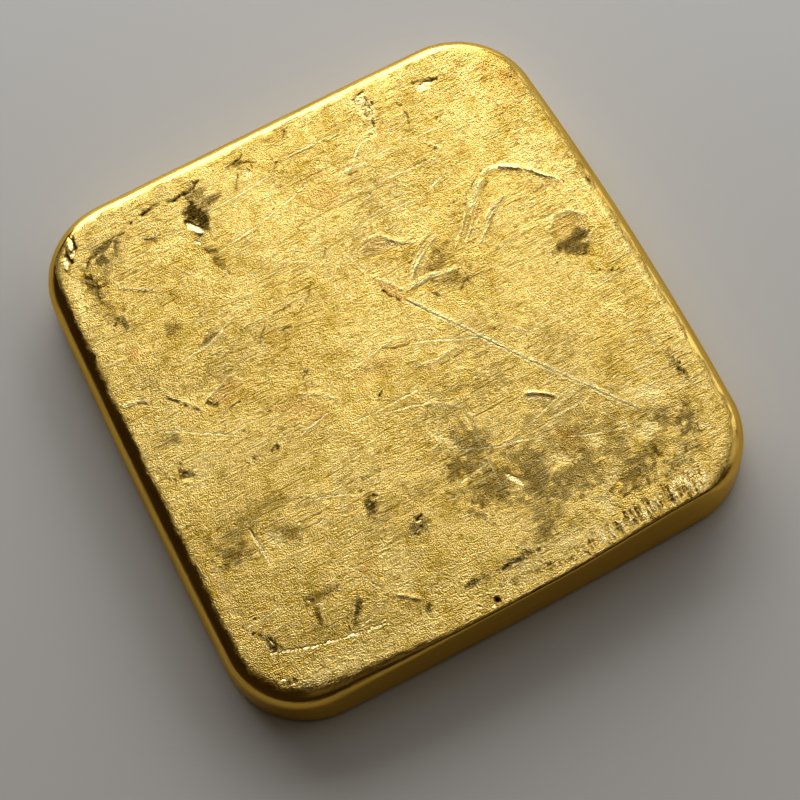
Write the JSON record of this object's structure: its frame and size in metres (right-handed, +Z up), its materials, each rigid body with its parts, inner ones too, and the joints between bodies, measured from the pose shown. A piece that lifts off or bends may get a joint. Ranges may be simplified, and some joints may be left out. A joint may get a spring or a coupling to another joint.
{
  "type": "cast gold bar",
  "caption": "Square cast gold bar with rounded corners, drafted walls, a round shoulder and a flat scratched mould face, lying flat with the mould face up.",
  "frame": {"origin": "middle of the underside that the bar rests on", "axes": "+Z up through the thickness, out of the mould face; +X across the width; +Y along the slightly greater length"},
  "size_m": [0.05, 0.051, 0.0067],
  "materials": {
    "gold": "cast fine gold: scratched and pitted on the mould face, smooth on the shoulder and walls"
  },
  "bodies": {
    "root": {"cast_bar": "gold"}
  },
  "joints": []
}
